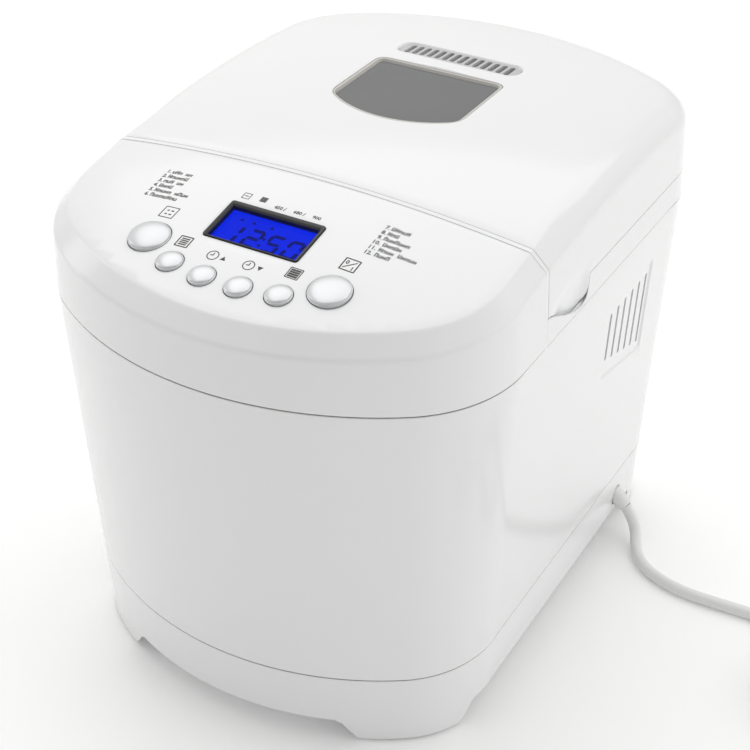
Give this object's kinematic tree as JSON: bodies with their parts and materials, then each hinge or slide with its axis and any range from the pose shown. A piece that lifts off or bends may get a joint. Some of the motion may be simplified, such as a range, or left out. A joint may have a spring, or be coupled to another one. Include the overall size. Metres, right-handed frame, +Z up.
{
  "type": "bread machine",
  "caption": "Countertop bread machine: rounded white casing, hinged domed lid with window, sloped control deck with display and sprung buttons, oven with lift-out pan, driven paddle and cord.",
  "frame": {"origin": "on the surface the machine stands on, under the middle of its body", "axes": "+Z up, +Y to the back where the lid is hinged, +X to the right of a user who faces the control deck"},
  "size_m": [0.4332, 0.33, 0.2669],
  "materials": {
    "white_gloss": "smooth gloss white",
    "light_grey": "fine matt light grey",
    "silver_grey": "satin silver grey",
    "black_plastic": "matt black",
    "rubber": "matt",
    "cord_white": "satin white sheath",
    "steel": "brushed",
    "zinc": "zinc plated",
    "aluminium": "cast and turned",
    "dark_coating": "non-stick coat",
    "element_metal": "heat darkened",
    "seal": "matt silicone",
    "clear_glass": "clear",
    "smoked_glass": "grey tint",
    "lcd_blue": "lit blue display",
    "circuit_green": "circuit board",
    "belt": "matt",
    "brass": "plain"
  },
  "bodies": {
    "machine": {"base_skirt": "white_gloss", "rubber_feet": "rubber", "body_shell": "white_gloss", "upper_housing": "white_gloss", "top_deck": "white_gloss", "chassis": "zinc", "chassis_posts": "light_grey", "base_screws": "zinc", "oven_supports": "light_grey", "motor": "zinc", "shaft_bearing": "brass", "drive_belt": "belt", "oven_liner": "dark_coating", "heat_shield": "aluminium", "temperature_sensor": "steel", "heating_element": "element_metal", "element_clips": "steel", "pan_socket": "aluminium", "pan_clips": "steel", "display_bezel": "black_plastic", "display_window": "clear_glass", "lcd_panel": "lcd_blue", "control_board": "circuit_green", "button_switches": "black_plastic", "power_board": "circuit_green", "terminal_block": "light_grey", "hinge_brackets": "steel", "hinge_pins": "steel", "cord_relief": "cord_white", "power_cord": "cord_white", "cord_coil": "cord_white", "cord_plug": "cord_white"},
    "motor_rotor": {"motor_shaft": "steel", "motor_pulley": "aluminium"},
    "drive": {"drive_shaft": "steel", "large_pulley": "black_plastic", "drive_coupler": "zinc"},
    "pan": {"bread_pan": "dark_coating", "pan_base": "aluminium", "pan_bearing": "brass", "handle_brackets": "steel"},
    "paddle": {"kneading_paddle": "dark_coating", "pan_shaft": "steel"},
    "handle": {"pan_handle": "steel"},
    "lid": {"lid_shell": "white_gloss", "lid_hinge_arms": "steel", "lid_frame": "white_gloss", "lid_liner": "steel", "lid_seal": "seal", "lid_screws": "zinc", "window_frame": "light_grey", "lid_window_outer": "smoked_glass", "lid_window_inner": "clear_glass", "vent_grille": "light_grey"},
    "button_menu": {"button_menu": "silver_grey"},
    "button_size": {"button_size": "silver_grey"},
    "button_time_up": {"button_time_up": "silver_grey"},
    "button_time_down": {"button_time_down": "silver_grey"},
    "button_crust": {"button_crust": "silver_grey"},
    "button_start_stop": {"button_start_stop": "silver_grey"}
  },
  "joints": [
    {"name": "lid_hinge", "type": "hinge", "parent": "machine", "child": "lid", "pos_m": [0, 0.153, 0.2285], "axis": [-1, 0, 0], "range_deg": [0, 85]},
    {"name": "pan_lift", "type": "slide", "parent": "machine", "child": "pan", "axis": [0, 0, 1], "range_m": [0, 0.055]},
    {"name": "paddle_spin", "type": "hinge", "parent": "pan", "child": "paddle", "pos_m": [0, 0.04, 0.1], "axis": [0, 0, 1], "continuous": true},
    {"name": "handle_swing", "type": "hinge", "parent": "pan", "child": "handle", "pos_m": [0, 0.04, 0.164], "axis": [1, 0, 0], "range_deg": [0, 90]},
    {"name": "drive_spin", "type": "hinge", "parent": "machine", "child": "drive", "pos_m": [0, 0.04, 0.034], "axis": [0, 0, 1], "continuous": true},
    {"name": "motor_spin", "type": "hinge", "parent": "machine", "child": "motor_rotor", "pos_m": [0, -0.098, 0.034], "axis": [0, 0, 1], "continuous": true},
    {"name": "press_menu", "type": "slide", "parent": "machine", "child": "button_menu", "axis": [0, 0.1925, -0.9813], "range_m": [0, 0.0012], "stiffness_N_per_m": 400},
    {"name": "press_size", "type": "slide", "parent": "machine", "child": "button_size", "axis": [0, 0.1925, -0.9813], "range_m": [0, 0.0012], "stiffness_N_per_m": 400},
    {"name": "press_time_up", "type": "slide", "parent": "machine", "child": "button_time_up", "axis": [0, 0.1925, -0.9813], "range_m": [0, 0.0012], "stiffness_N_per_m": 400},
    {"name": "press_time_down", "type": "slide", "parent": "machine", "child": "button_time_down", "axis": [0, 0.1925, -0.9813], "range_m": [0, 0.0012], "stiffness_N_per_m": 400},
    {"name": "press_crust", "type": "slide", "parent": "machine", "child": "button_crust", "axis": [0, 0.1925, -0.9813], "range_m": [0, 0.0012], "stiffness_N_per_m": 400},
    {"name": "press_start_stop", "type": "slide", "parent": "machine", "child": "button_start_stop", "axis": [0, 0.1925, -0.9813], "range_m": [0, 0.0012], "stiffness_N_per_m": 400}
  ],
  "couplings": [
    {"joint": "motor_spin", "follows": "drive_spin", "ratio": 5},
    {"joint": "paddle_spin", "follows": "drive_spin", "ratio": 1}
  ]
}
